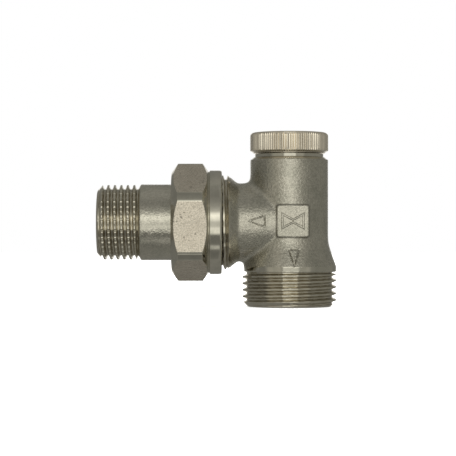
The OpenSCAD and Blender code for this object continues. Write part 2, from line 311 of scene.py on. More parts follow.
def forging(p):
    """Signed distance, in millimetres, of the forged part of the body."""
    x, y, z = p[..., 0], p[..., 1], p[..., 2]
    rise, u = z - BRANCH_Z, -x
    lean = LAND_SHIFT * np.clip((CONE_TOP - z) / (CONE_TOP - LAND_TOP), 0, 1)
    rho_tube = np.hypot(x - lean, y) + 1e-9
    rho_branch = np.hypot(y, rise) + 1e-9
    branch = np.maximum(branch_surface(rho_branch, u), -u)
    facing = np.clip(y * y / (rho_tube * rho_branch), 0, 1)
    wall = soft_min(tube_surface(rho_tube, z), branch, FILLET * (1 - facing))
    outer = soft_min(wall, pad_block(x, y, z), PAD_FILLET)
    for arrow in ARROWS:
        outer = with_arrow(outer, wall, triangle(x, z, arrow), y)
    solid = np.maximum(outer, -waterways(np.hypot(x, y), rho_branch, u, z))
    ends = np.maximum(z - (TUBE_TOP - RIM_HEIGHT), u - FORGING_END)
    foot = soft_max(solid, LAND_FLOOR - z, FOOT_EDGE)
    return np.maximum(foot, ends)


def surface_net(field, low, high, step):
    """Quads of the zero surface of field over a box of cells."""
    axes = [np.arange(low[i], high[i] + step, step) for i in range(3)]
    shape = [len(a) for a in axes]
    values = np.empty(shape, np.float32)
    yy, zz = np.meshgrid(axes[1], axes[2], indexing="ij")
    for i, x in enumerate(axes[0]):
        values[i] = field(np.stack([np.full_like(yy, x), yy, zz], -1))
    cells = [n - 1 for n in shape]
    total = np.zeros((*cells, 3), np.float32)
    count = np.zeros(cells, np.float32)
    inside = values < 0
    quads = []
    for axis in range(3):
        one = [slice(None)] * 3
        two = [slice(None)] * 3
        one[axis], two[axis] = slice(0, -1), slice(1, None)
        a, b = values[tuple(one)], values[tuple(two)]
        cross = (a < 0) != (b < 0)
        share = np.where(cross, a / np.where(cross, a - b, 1), 0)
        others = [k for k in range(3) if k != axis]
        for da in (0, 1):
            for db in (0, 1):
                cut = [slice(None)] * 3
                cut[others[0]] = slice(da, da + cells[others[0]])
                cut[others[1]] = slice(db, db + cells[others[1]])
                c, s = cross[tuple(cut)], share[tuple(cut)]
                total[..., axis] += np.where(c, s, 0)
                total[..., others[0]] += np.where(c, da, 0)
                total[..., others[1]] += np.where(c, db, 0)
                count += c
        i, j, k = np.nonzero(cross)
        at = np.stack([i, j, k], -1)
        keep = np.all([(at[:, o] > 0) & (at[:, o] < cells[o]) for o in others], axis=0)
        at = at[keep]
        steps = []
        for da, db in ((-1, -1), (0, -1), (0, 0), (-1, 0)):
            move = np.zeros(3, int)
            move[others[0]], move[others[1]] = da, db
            steps.append(at + move)
        quad = np.stack([np.ravel_multi_index(s.T, cells) for s in steps], -1)
        flip = inside[tuple(at.T)] == (axis == 1)
        quad[flip] = quad[flip][:, ::-1]
        quads.append(quad)
    quads = np.concatenate(quads)
    used, compact = np.unique(quads, return_inverse=True)
    cell = np.stack(np.unravel_index(used, cells), -1)
    centre = total.reshape(-1, 3)[used] / np.maximum(count.reshape(-1)[used], 1)[:, None]
    points = np.array(low) + (cell + centre) * step
    return points, compact.reshape(-1, 4)


def settle(points, quads, field, rounds=3, probe=0.01, least_slope=0.2):
    """Evens the points out along the surface and draws them onto it."""
    def draw_on(p):
        slope = np.empty_like(p)
        for axis in range(3):
            step = np.zeros(3)
            step[axis] = probe
            slope[:, axis] = (field(p + step) - field(p - step)) / (2 * probe)
        reach = np.clip(field(p), -VOXEL, VOXEL)[:, None]
        return p - reach * slope / np.maximum((slope ** 2).sum(1), least_slope)[:, None]

    for _ in range(rounds):
        total = np.zeros_like(points)
        count = np.zeros(len(points))
        for k in range(4):
            np.add.at(total, quads[:, k], points[quads[:, (k + 1) % 4]])
            np.add.at(count, quads[:, k], 1)
        points = points + 0.5 * (total / np.maximum(count, 1)[:, None] - points)
        for _ in range(2):
            points = draw_on(points)
    return points


# ---------------------------------------------------------------- materials

class Nodes:
    """Short calls for building a node tree."""

    def __init__(self, tree):
        self.tree = tree

    def add(self, kind, inputs=None, **settings):
        node = self.tree.nodes.new(kind)
        for key, value in settings.items():
            setattr(node, key, value)
        for key, value in (inputs or {}).items():
            if isinstance(value, bpy.types.NodeSocket):
                self.tree.links.new(value, node.inputs[key])
            else:
                node.inputs[key].default_value = value
        return node

    def math(self, operation, a, b=0.0, clamp=False):
        node = self.add("ShaderNodeMath", {0: a, 1: b}, operation=operation, use_clamp=clamp)
        return node.outputs[0]

    def remap(self, value, low, high, to_low=0.0, to_high=1.0):
        node = self.add("ShaderNodeMapRange", {"Value": value, "From Min": low, "From Max": high,
                                               "To Min": to_low, "To Max": to_high},
                        interpolation_type="SMOOTHSTEP")
        return node.outputs["Result"]

    def ramp(self, value, stops):
        """Warm grey levels along value, from stops of (degrees of height, level)."""
        node = self.add("ShaderNodeValToRGB", {"Fac": value})
        elements = node.color_ramp.elements
        elements[0].position = (stops[0][0] + 90) / 180
        elements[1].position = (stops[-1][0] + 90) / 180
        for degrees, _ in stops[1:-1]:
            elements.new((degrees + 90) / 180)
        for element, (_, level) in zip(elements, stops):
            element.color = rgb(*(level * tint for tint in WARM))
        return node.outputs[0]

    def mix(self, share, a, b):
        node = self.add("ShaderNodeMix", data_type="RGBA")
        for index, value in ((0, share), (6, a), (7, b)):
            if isinstance(value, bpy.types.NodeSocket):
                self.tree.links.new(value, node.inputs[index])
            else:
                node.inputs[index].default_value = value
        return node.outputs[2]


def start_material(name):
    """A new material with its nodes, its shader and the object's own coordinates."""
    material = bpy.data.materials.new(name)
    material.use_nodes = True
    material.node_tree.nodes.clear()
    nodes = Nodes(material.node_tree)
    shader = nodes.add("ShaderNodeBsdfPrincipled")
    output = nodes.add("ShaderNodeOutputMaterial")
    material.node_tree.links.new(shader.outputs[0], output.inputs[0])
    place = nodes.add("ShaderNodeTexCoord").outputs["Object"]
    return material, nodes, shader, place


def finish_material(material, shader, colour, roughness, bump, metallic=1.0):
    """Joins what the three kinds of material have in common to the shader."""
    links = material.node_tree.links
    links.new(colour, shader.inputs["Base Color"])
    links.new(roughness, shader.inputs["Roughness"])
    links.new(bump.outputs["Normal"], shader.inputs["Normal"])
    shader.inputs["Metallic"].default_value = metallic
    return material


def rgb(r, g, b):
    return (r, g, b, 1.0)


# Painted shade: the dark colour that inner corners and thread roots are mixed towards.
CORNER_SHADE = rgb(0.05, 0.047, 0.038)
# Painted shade: the dark colour of the blasted skin's dimples, which also makes its speckled grain.
DIMPLE_SHADE = rgb(0.16, 0.155, 0.135)
PIT = rgb(0.12, 0.11, 0.09)


def worn_colour(nodes, place, base, dull, bright, blotch_mm):
    """Base colour with slow blotches, bright where an edge has worn and darkened as painted shade
    in inner corners.

    Also returns how dull and how worn each point is.
    """
    blotch = nodes.add("ShaderNodeTexNoise", {"Vector": place, "Scale": 1 / (blotch_mm * MM),
                                              "Detail": 4.0, "Roughness": 0.6})
    share = nodes.remap(blotch.outputs["Fac"], 0.38, 0.66)
    colour = nodes.mix(share, rgb(*base), rgb(*dull))
    edge = nodes.add("ShaderNodeNewGeometry").outputs["Pointiness"]
    # Painted shade: the colour darkens where pointiness is low, in inner corners and thread roots.
    corner_shade = nodes.remap(edge, 0.40, 0.48, 0.6, 0.0)
    colour = nodes.mix(corner_shade, colour, CORNER_SHADE)
    worn = nodes.remap(edge, 0.52, 0.60, 0.0, 0.7)
    return nodes.mix(worn, colour, rgb(*bright)), share, worn


def blasted_metal(name, base, dull, bright, rough=0.27, grain_mm=0.62, depth_mm=0.10, speck=0.26,
                  pits=0.0):
    """Nickel plate over a shot-blasted skin: a speckled grain whose dimples are darkened as painted
    shade, and worn edges.
    """
    material, nodes, shader, place = start_material(name)
    colour, _, worn = worn_colour(nodes, place, base, dull, bright, 5.0)
    dimple = nodes.add("ShaderNodeTexNoise", {"Vector": place, "Scale": 1 / (grain_mm * MM),
                                              "Detail": 2.0, "Roughness": 0.55})
    fine = nodes.add("ShaderNodeTexNoise", {"Vector": place, "Scale": 1 / (0.4 * grain_mm * MM),
                                            "Detail": 3.0, "Roughness": 0.6})
    height = nodes.math("ADD", dimple.outputs["Fac"],
                        nodes.math("MULTIPLY", fine.outputs["Fac"], 0.45))
    # Painted shade: the colour darkens in the dimples, where the bump's height is low.
    dark = nodes.remap(dimple.outputs["Fac"], 0.36, 0.62, speck, 0.0)
    colour = nodes.mix(dark, colour, DIMPLE_SHADE)
    if pits > 0:
        spots = nodes.add("ShaderNodeTexNoise", {"Vector": place, "Scale": 1 / (0.9 * MM),
                                                 "Detail": 2.0})
        pit = nodes.remap(spots.outputs["Fac"], 0.66, 0.72, 0.0, pits)
        height = nodes.math("SUBTRACT", height, pit)
        colour = nodes.mix(nodes.math("MULTIPLY", pit, 0.7), colour, PIT)
    bump = nodes.add("ShaderNodeBump", {"Height": height, "Strength": 1.0,
                                        "Distance": depth_mm * MM})
    roughness = nodes.math("ADD", nodes.math("MULTIPLY", fine.outputs["Fac"], 0.16), rough - 0.08)
    roughness = nodes.math("SUBTRACT", roughness, nodes.math("MULTIPLY", worn, 0.12))
    return finish_material(material, shader, colour, roughness, bump)


def turned_metal(name, base, dull, bright, axis, rough=0.10, line_mm=0.07, depth_mm=0.0012):
    """Plated metal off the lathe: fine rings round the axis, a few scratches and worn edges."""
    material, nodes, shader, place = start_material(name)
    colour, blotch, _ = worn_colour(nodes, place, base, dull, bright, 4.0)
    squeeze = (0.03, 0.03, 1.0) if axis == "Z" else (1.0, 0.03, 0.03)
    along = nodes.add("ShaderNodeMapping", {"Vector": place, "Scale": squeeze}).outputs[0]
    rings = nodes.add("ShaderNodeTexNoise", {"Vector": along, "Scale": 1 / (line_mm * MM),
                                             "Detail": 3.0, "Roughness": 0.7})
    broad = nodes.add("ShaderNodeTexNoise", {"Vector": along, "Scale": 1 / (6 * line_mm * MM),
                                             "Detail": 1.0})
    skin = nodes.add("ShaderNodeTexNoise", {"Vector": place, "Scale": 1 / (0.25 * MM),
                                            "Detail": 2.0})
    height = nodes.math("ADD", rings.outputs["Fac"],
                        nodes.math("MULTIPLY", broad.outputs["Fac"], 1.5))
    height = nodes.math("ADD", height, nodes.math("MULTIPLY", skin.outputs["Fac"], 0.8))
    bump = nodes.add("ShaderNodeBump", {"Height": height, "Strength": 1.0,
                                        "Distance": depth_mm * MM})
    roughness = nodes.math("ADD", nodes.math("MULTIPLY", blotch, 0.08),
                           nodes.math("MULTIPLY", rings.outputs["Fac"], 0.10))
    roughness = nodes.math("ADD", roughness, rough - 0.08)
    return finish_material(material, shader, colour, roughness, bump)


def rubber_material():
    """Matt moulded rubber with a faint mould bloom."""
    material, nodes, shader, place = start_material("moulded_rubber")
    bloom = nodes.add("ShaderNodeTexNoise", {"Vector": place, "Scale": 1 / (1.2 * MM),
                                             "Detail": 5.0, "Roughness": 0.65})
    colour = nodes.mix(bloom.outputs["Fac"], rgb(0.010, 0.010, 0.011), rgb(0.035, 0.035, 0.036))
    bump = nodes.add("ShaderNodeBump", {"Height": bloom.outputs["Fac"], "Strength": 0.6,
                                        "Distance": 0.01 * MM})
    roughness = nodes.remap(bloom.outputs["Fac"], 0.3, 0.7, 0.5, 0.68)
    return finish_material(material, shader, colour, roughness, bump, metallic=0.0)


NICKEL = (0.65, 0.625, 0.55)
NICKEL_DULL = (0.56, 0.545, 0.475)
NICKEL_BRIGHT = (0.80, 0.77, 0.69)
GOLDEN = (0.64, 0.61, 0.53)
GOLDEN_DULL = (0.55, 0.515, 0.43)
# Painted highlight: a brighter, warmer copy of the nickel for the hexagon's flats than for the rest
# of the nut, standing in for the window's warm reflection on the front flat.
LIT_FLAT_NICKEL = (0.79, 0.725, 0.625)
LIT_FLAT_DULL = (0.72, 0.655, 0.56)
# Painted highlight: the cap's nickel is much brighter than on the other parts, to paint its
# brighter highlights; its polish is in its lower roughness.
LIT_CAP_NICKEL = (0.92, 0.85, 0.73)
LIT_CAP_DULL = (0.86, 0.79, 0.68)
BRASS = (0.78, 0.60, 0.30)
BRASS_DULL = (0.62, 0.46, 0.22)
BRASS_BRIGHT = (0.88, 0.74, 0.45)

cast_skin = blasted_metal("blasted_nickel", NICKEL, NICKEL_DULL, NICKEL_BRIGHT)
flat_skin = blasted_metal("hexagon_nickel", LIT_FLAT_NICKEL, LIT_FLAT_DULL, NICKEL_BRIGHT, rough=0.26,
                          grain_mm=0.36, depth_mm=0.025, speck=0.34, pits=0.9)
shank_skin = blasted_metal("shank_nickel", NICKEL, NICKEL_DULL, NICKEL_BRIGHT, rough=0.12,
                           grain_mm=0.62, depth_mm=0.075, speck=0.15)
turned_z = turned_metal("turned_nickel_upright", NICKEL, NICKEL_DULL, NICKEL_BRIGHT, "Z")
cap_skin = turned_metal("turned_nickel_cap", LIT_CAP_NICKEL, LIT_CAP_DULL, LIT_CAP_NICKEL, "Z", rough=0.14)
turned_x = turned_metal("turned_nickel_branch", NICKEL, NICKEL_DULL, NICKEL_BRIGHT, "X")
thread_z = turned_metal("thread_nickel_upright", GOLDEN, GOLDEN_DULL, NICKEL_BRIGHT, "Z",
                        rough=0.08)
thread_x = turned_metal("thread_nickel_branch", GOLDEN, GOLDEN_DULL, NICKEL_BRIGHT, "X",
                        rough=0.08)
raw_z = turned_metal("turned_brass_upright", BRASS, BRASS_DULL, BRASS_BRIGHT, "Z", rough=0.24)
raw_x = turned_metal("turned_brass_branch", BRASS, BRASS_DULL, BRASS_BRIGHT, "X", rough=0.24)
wire = turned_metal("drawn_spring_steel", (0.55, 0.56, 0.58), (0.42, 0.43, 0.45),
                    (0.75, 0.76, 0.78), "Z", rough=0.28)
rubber = rubber_material()


# ---------------------------------------------------------------- body

def make_forging():
    """The forging, blasted all over but for the machined land above the lower thread."""
    margin = 0.8
    low = (-17.2, -LAND_R - margin, LAND_FLOOR - margin)
    high = (LAND_R + margin, LAND_R + margin, TUBE_TOP + 0.4)
    points, quads = surface_net(forging, low, high, VOXEL)
    points = settle(points, quads, forging)
    centre = points[quads].mean(1)
    machined = (centre[:, 2] < LAND_TOP) & (np.hypot(centre[:, 0], centre[:, 1]) > 12)
    return new_object("body_forging", points, quads, "valve_body", ["body"],
                      [cast_skin, turned_z], machined.astype(int))


def make_port():
    """The lower port's G 3/4 thread, with its cone and tube socket inside."""
    columns = 288
    thread_end = 9.7
    mouth_r = 11.75
    socket_r, socket_floor = 8.0, 8.2
    cone_r, cone_end = 9.35, 3.2

    def radius(z, turn):
        run_out = smooth_step(z, thread_end - 0.55, thread_end - 0.15)
        grown = G34_ROOT + ridge_height(z, turn, PORT_PHASE) * (1 - run_out)
        blank = np.minimum(G34_CREST, mouth_r + (z - 0.05))
        return np.minimum(grown, np.maximum(blank, mouth_r))

    outside = thread_rows(0.08, thread_end + 0.2, radius, columns)
    top, throat = thread_end + 0.3, THROAT_R - HAIR
    inside = [[G34_ROOT, top], [throat, top], [throat, socket_floor], [socket_r, socket_floor],
              [socket_r, cone_end], [cone_r, 0.0], [mouth_r - 0.05, 0.0]]
    edge = [0, 0, 0.1, 0, 0.1, 0.12, 0.08]
    rows = outside + rounded_rows(inside, edge)
    return turned("body_port", rows, columns, "valve_body", ["body"], [thread_z])


def make_union_thread():
    """The branch's flare and G 3/4 thread, with the pocket for the tailpiece's nose inside."""
    columns = 288
    start, flare_end, run_in, run_in_end = 15.1, 16.6, 16.8, 17.7
    mouth_r = 11.9
    pocket_r, pocket_floor = 9.6, 21.9

    def radius(u, turn):
        blank = np.minimum(G34_CREST, BRANCH_R + (u - FLARE_START) * FLARE_SLOPE + 0.03)
        blank = np.minimum(blank, mouth_r + (BRANCH_END - u) * 1.1)
        groove = THREAD_DEPTH - ridge_height(u, turn, UNION_PHASE)
        groove = groove * smooth_step(u, run_in, run_in_end)
        return np.minimum(blank, np.maximum(G34_CREST - groove, G34_ROOT))

    def pick(r, u, turn):
        return np.where((u < flare_end) & (r > 10), 1, 0)

    outside = thread_rows(start, BRANCH_END - 0.04, radius, columns)
    inside = [[mouth_r - 0.1, BRANCH_END], [10.15, BRANCH_END], [pocket_r, BRANCH_END - 0.5],
              [pocket_r, pocket_floor], [SIDE_BORE_R, pocket_floor], [SIDE_BORE_R - HAIR, start],
              [BRANCH_R - 0.6, start]]
    edge = [0.06, 0.06, 0.06, 0, 0.1, 0, 0]
    rows = outside + rounded_rows(inside, edge)
    return turned("body_union_thread", rows, columns, "valve_body", ["body"],
                  [thread_x, cast_skin], branch=True, pick=pick)


def make_rim():
    """Machined rim of the upright tube, with the pocket for the headwork's ring."""
    low = TUBE_TOP - 1.0
    wall_r, hidden_r = TUBE_R + 0.012, 10.0
    hole_r = HEADWORK_HOLE_R + HAIR
    pocket_r, pocket_floor = 9.75, TUBE_TOP - 1.4
    profile = [[wall_r, low], [wall_r, TUBE_TOP - 0.9], [TUBE_R - 0.9, TUBE_TOP],
               [pocket_r + 0.1, TUBE_TOP], [pocket_r, TUBE_TOP - 0.12], [pocket_r, pocket_floor],
               [hole_r, pocket_floor], [hole_r, low - 1.0], [hidden_r, low - 1.0], [hidden_r, low]]
    edge = [0, 0.25, 0.15, 0.03, 0.03, 0, 0, 0, 0, 0]
    return turned("body_rim", rounded_rows(profile, edge), 224, "valve_body", ["body"],
                  [turned_z])


def make_pad_mark():
    """Raised bow-tie outline on the pad, the plain drawing symbol for a valve."""
    reach, rise, neck = 2.9, 1.9, 0.35
    half, height, sink = 0.32, 0.36, 0.12
    mitre_limit = 0.35
    corners = [(-reach, -rise), (0, -neck), (reach, -rise),
               (reach, rise), (0, neck), (-reach, rise)]
    section = [(half * math.cos(a), height * math.sin(a)) for a in np.linspace(0, math.pi, 7)]
    section = [(half, -sink)] + section + [(-half, -sink)]
    points = []
    for i, (x, z) in enumerate(corners):
        back = np.array(corners[i - 1]) - (x, z)
        ahead = np.array(corners[(i + 1) % len(corners)]) - (x, z)
        back, ahead = back / np.linalg.norm(back), ahead / np.linalg.norm(ahead)
        normal = np.array([-ahead[1], ahead[0]])
        across = normal + np.array([back[1], -back[0]])
        across = across / np.linalg.norm(across)
        across = across / max(mitre_limit, abs(across @ normal))
        for side, out in section:
            points.append((PAD_CENTRE[0] + x + across[0] * side, -PAD_FRONT - out,
                           PAD_CENTRE[1] + z + across[1] * side))
    faces = ring_faces(len(corners), len(section))
    return new_object("body_pad_mark", points, faces, "valve_body", ["body"],
                      [cast_skin])


# ---------------------------------------------------------------- headwork

def make_bonnet():
    """Screwed headwork: flange, fine neck thread for the cap, and a cross slot for a driver."""
    columns = 360
    turn = np.arange(columns) / columns * TAU
    depth, pitch = 0.55, 1.0
    bottom, top = 31.91, 46.19
    body_crest, neck_crest = 8.99, 7.99
    neck_root = 7.44
    flange_r, flange_top = 9.6, 42.79
    slot_half, slot_floor = 0.9, top - 1.0
    bore_r, bore_floor, stem_r = 5.55, 36.6, 4.55
    groove_r, groove_low, groove_high = 6.1, 45.28, 45.95

    def ring(radius, z):
        return np.stack([np.full(columns, radius), np.broadcast_to(z, columns)], -1)

    def rim(radius):
        """Height of the top round a circle of this radius, which the cross slot cuts into."""
        across = np.minimum(np.abs(radius * np.cos(turn)), np.abs(radius * np.sin(turn)))
        return np.where(across < slot_half, slot_floor, top)

    def screw(crest, phase):
        def radius(z, angle):
            ridge = ridge_height(z, angle, phase, depth=depth, pitch=pitch)
            return crest - depth + ridge * smooth_step(z, phase - 0.9, phase - 0.3)
        return radius

    lower = thread_rows(32.0, 39.4, screw(body_crest, 33.0), columns)
    # The flange's last corner only closes its profile, and its rows are left out again.
    flange = rounded_rows([[8.6, 39.8], [8.6, TUBE_TOP + HAIR], [flange_r, TUBE_TOP + HAIR],
                           [flange_r, flange_top], [neck_root, flange_top], [7.0, 41.0]],
                          [0, 0, 0.05, 0.16, 0.1, 0])
    flange = [np.repeat(row, columns, 0) for row in flange if row[0, 0] > 7.2]
    neck = thread_rows(42.85, top - 0.3, screw(neck_crest, 43.7), columns)
    neck = [np.stack([row[:, 0], np.minimum(row[:, 1], rim(7.9))], -1) for row in neck]
    crown = [ring(7.5, rim(7.9)), ring(7.2, rim(7.4)), ring(6.45, rim(6.8)), ring(6.4, top),
             ring(bore_r + 0.1, top), ring(bore_r, top - 0.1)]
    bore = [ring(r, z) for r, z in (
        (bore_r, groove_high), (groove_r, groove_high), (groove_r, groove_low),
        (bore_r, groove_low), (bore_r, bore_floor), (stem_r, bore_floor), (stem_r, bottom),
        (8.3, bottom))]
    return turned("bonnet_body", lower + flange + neck + crown + bore, columns, "valve_body",
                  ["bonnet"], [turned_z])


# ---------------------------------------------------------------- cap

def make_cap():
    """Turned cap with a fine straight knurl whose ridges differ a little."""
    ridges, steps = 100, 12
    columns = ridges * steps
    outer = CAP_HIGH[0] - HAIR
    low, high = CAP_LOW[2], CAP_HIGH[2] - HAIR
    depth, shallowest, steepness = 0.22, 0.6, 3.4
    dish_r, dish_depth = 4.0, 0.12
    thread_r, ceiling = 8.1, high - 1.8
    chance = np.random.default_rng(SEED)
    share = np.arange(columns) % steps / steps
    groove = np.clip(1 - np.minimum(share, 1 - share) * steepness, 0, 1)
    groove = depth * groove * np.repeat(chance.uniform(shallowest, 1.0, ridges), steps)
    valley = outer - depth

    def row(radius, z, knurl):
        return np.stack([radius - groove * knurl, np.full(columns, z)], -1)

    # Height, how far inside the outer radius, and how much of the knurl's depth.
    band = [(low + 0.66, 0.16, 0), (low + 0.74, 0.05, 0.5), (low + 0.86, 0, 1), (low + 1.5, 0, 1),
            (high - 1.25, 0, 1), (high - 0.95, 0.01, 1), (high - 0.7, 0.06, 0.9),
            (high - 0.5, 0.13, 0.6)]
    outside = [row(outer - drop, z, knurl) for z, drop, knurl in band]
    shoulder = [[valley - 0.10, high - 0.32], [valley - 0.36, high - 0.1], [valley - 0.80, high],
                [dish_r, high], [dish_r - 0.2, high - dish_depth], [0.02, high - dish_depth]]
    inside = [[0.02, ceiling], [thread_r, ceiling], [thread_r, low + 0.5], [8.6, low + 0.1],
              [8.6, low], [9.85, low], [10.1, low + 0.14]]
    edges = [0.1, 0.15, 0.15, 0.06, 0.06, 0, 0, 0, 0.05, 0.05, 0.05, 0.08, 0.05]
    rest = rounded_rows(shoulder + inside, edges)
    return turned("cap_knurled", outside + rest, columns, "cap", ["cap"],
                  [cap_skin])


# ---------------------------------------------------------------- union nut

def make_nut():
    """Hexagon with turned corners and chamfers, a groove, a round collar and a female thread."""
    columns = 360
    turn = np.arange(columns) / columns * TAU
    flat_r, corner_r = 14.88, 16.5
    collar_r, groove_r = 14.6, 14.2
    hexagon_front = NUT_FRONT + 3.72
    collar_end = NUT_FRONT + 3.6
    front_face_r, back_face_r = 14.3, 13.9
    front_slope, back_slope = 2.2 / 1.66, 2.6 / 1.85
    hole_r, shoulder = 10.75, 29.8
    bore = G34_CREST + 0.1
    female_depth = THREAD_DEPTH * 0.36
    lead_in = NUT_FRONT + 0.5

    def from_flat(angle):
        """Angle from the middle of the nearest flat."""
        return np.abs((angle + NUT_CLOCK) % (TAU / 6) - TAU / 12)

    def ring(radius, distance):
        return np.stack([np.broadcast_to(radius, columns), np.broadcast_to(distance, columns)], -1)

    spread = soft_min(flat_r / np.cos(from_flat(turn)), np.full(columns, corner_r), 0.3)
    spread = np.minimum(spread, corner_r)
    front_bevel = hexagon_front + (spread - front_face_r) / front_slope
    back_bevel = NUT_BACK - (spread - back_face_r) / back_slope
    corners = [ring(bore + 0.42, NUT_FRONT), ring(collar_r - 0.25, NUT_FRONT),
               ring(collar_r, lead_in), ring(collar_r, collar_end - 0.25),
               ring(groove_r, collar_end), ring(groove_r, hexagon_front),
               ring(spread, front_bevel), ring(spread, back_bevel), ring(back_face_r, NUT_BACK),
               ring(hole_r, NUT_BACK), ring(hole_r, shoulder), ring(bore, shoulder)]
    edge = [0.1, 0.9, 0.5, 0.12, 0.08, 0.08, 0.14, 0.14, 0.14, 0.12, 0.1, 0]
    rows = rounded_rows(np.stack(corners), edge)

    def female(u, angle):
        cut = female_depth - ridge_height(u, angle, UNION_PHASE, depth=female_depth)
        lead = np.maximum(0, (lead_in - u)) * 0.8
        return bore + cut * smooth_step(-u, -27.6, -26.6) + lead

    rows += thread_rows(shoulder - 0.3, NUT_FRONT + 0.08, female, columns)

    def pick(radius, distance, angle):
        away = from_flat(angle)
        on_flat = (away < math.acos(flat_r / corner_r) - 0.01) & (radius > 14.75)
        level = radius * np.cos(away)
        return np.where(on_flat & (level > flat_r - 0.06) & (distance > hexagon_front), 1, 0)

    return turned("nut_hexagon", rows, columns, "union_nut", ["union_nut"],
                  [turned_x, flat_skin], branch=True, pick=pick)


# ---------------------------------------------------------------- tailpiece

WATERWAY_R = 7.0


def make_tailpiece():
    """Nose, collar, blasted shank and a tapering run of serrated 1/2 in thread."""
    notches, steps = 40, 9
    columns = notches * steps
    notch_depth, shallowest = 0.42, 0.55
    nose_start, ring_low, ring_high = 22.2, 23.65, 25.35
    nose_r, ring_r = 9.54, 8.14
    collar_r, collar_start, collar_end = 11.6, 26.45, 29.0
    shank_r, shank_end = 10.65, 41.5
    run_in = 42.2
    end_r = 9.0
    share = np.arange(columns) % steps / steps
    notch = np.clip(1 - np.abs(share - 0.5) * 5.0, 0, 1)
    chance = np.random.default_rng(SEED + 1)
    notch = notch * np.repeat(chance.uniform(shallowest, 1.0, notches), steps)

    def radius(u, turn):
        grown = G12_ROOT + ridge_height(u, turn, TAIL_PHASE) * smooth_step(u, run_in, run_in + 0.7)
        blank = np.minimum(G12_CREST, end_r + (TAIL_END - 0.05 - u) * 1.05)
        serration = notch * notch_depth * smooth_step(u, run_in, run_in + 1.0)
        return np.minimum(np.minimum(grown, np.maximum(G12_CREST - serration, G12_ROOT)),
                          np.maximum(blank, end_r))

    nose = [[WATERWAY_R, nose_start], [nose_r - 0.5, nose_start], [nose_r, nose_start + 0.5],
            [nose_r, ring_low], [ring_r, ring_low], [ring_r, ring_high], [nose_r, ring_high],
            [nose_r, collar_start], [collar_r, collar_start], [collar_r, collar_end - 0.5],
            [collar_r - 0.5, collar_end], [shank_r, collar_end], [shank_r, shank_end],
            [shank_r - 0.3, shank_end + 0.3], [G12_ROOT + 0.1, 42.3]]
    nose_edge = [0, 0.12, 0.08, 0.06, 0, 0, 0.06, 0, 0.1, 0.12, 0.08, 0, 0.15, 0.08, 0]
    tail = [[end_r, TAIL_END], [WATERWAY_R + 0.3, TAIL_END], [WATERWAY_R, TAIL_END - 0.3]]
    tail_edge = [0.05, 0.08, 0.06]
    shared = rounded_rows(nose + tail, nose_edge + tail_edge)
    split = next(i for i, row in enumerate(shared) if row[0, 1] > TAIL_END - 1)
    thread = thread_rows(42.35, TAIL_END - 0.06, radius, columns)

    def pick(r, u, turn):
        on_shank = (u > collar_end + 0.4) & (u < shank_end + 0.2) & (r > 10.4)
        on_thread = (u > shank_end + 0.4) & (r > end_r - 0.1)
        return np.where(on_shank, 1, np.where(on_thread, 2, 0))

    return turned("tailpiece_pipe", shared[:split] + thread + shared[split:], columns, "tailpiece",
                  ["tailpiece"], [turned_x, shank_skin, thread_x], branch=True,
                  pick=pick)


def make_key_lugs():
    """Two lugs in the tailpiece's bore for a stepped key."""
    width, height, length, start = 2.5, 1.4, 7.0, 45.3
    bevel, sink = 0.25, 0.6
    half, crest = width / 2, WATERWAY_R - height
    section = [(-half, WATERWAY_R + sink), (-half, crest + bevel), (-half + bevel, crest),
               (half - bevel, crest), (half, crest + bevel), (half, WATERWAY_R + sink)]
    n = len(section)
    stations = ((start, bevel), (start + bevel, 0), (start + length - bevel, 0),
                (start + length, bevel))
    sides = [(k * n + j, k * n + (j + 1) % n, (k + 1) * n + (j + 1) % n, (k + 1) * n + j)
             for k in range(3) for j in range(n)]
    first_end, last_end = tuple(range(n)), tuple(range(3 * n, 4 * n))
    for side, name in ((-1, "tailpiece_lug_front"), (1, "tailpiece_lug_back")):
        points = []
        for u, inset in stations:
            for across, out in section:
                reach = max(out, crest + inset) if out < WATERWAY_R else out
                points.append((-u, side * reach, BRANCH_Z + across))
        faces = [face[::side] for face in sides] + [first_end[::-side], last_end[::side]]
        mesh = bpy.data.meshes.new("tailpiece_lug")
        mesh.from_pydata((np.array(points) * MM).tolist(), [], faces)
        mesh.validate()
        mesh.materials.append(turned_x)
        lug = bpy.data.objects.new(name, mesh)
        bpy.context.scene.collection.objects.link(lug)
        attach(lug, "tailpiece")
        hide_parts("tailpiece")


# ---------------------------------------------------------------- carried-over CAD nodes

CAD_MATERIAL = {
    "spindle": turned_z, "stop_washer": raw_z, "spindle_circlip": wire,
    "spindle_clip": wire, "plug": raw_z, "plug_washer": raw_z, "plug_screw": raw_z,
    "slip_washer": raw_x, "bonnet_o_ring": rubber, "spindle_o_ring_upper": rubber,
    "spindle_o_ring_lower": rubber, "plug_seal": rubber, "cap_seal": rubber,
    "tailpiece_o_ring": rubber,
}


def dress_cad_nodes():
    """Gives each CAD node that stays as it is the material it has on the real valve."""
    for name, material in CAD_MATERIAL.items():
        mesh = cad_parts[name].data
        mesh.materials.clear()
        mesh.materials.append(material)


# ---------------------------------------------------------------- studio

# The picture is this wide, and its middle shows this place, on the plane of the valve's axes.
CAMERA_SIDE, CAMERA_DISTANCE, CAMERA_HEIGHT = -20.5, 500.0, 20.0
AIM_SIDE, AIM_HEIGHT = -17.191, 22.0225
PICTURE_WIDTH = 128.09
SENSOR = 36.0


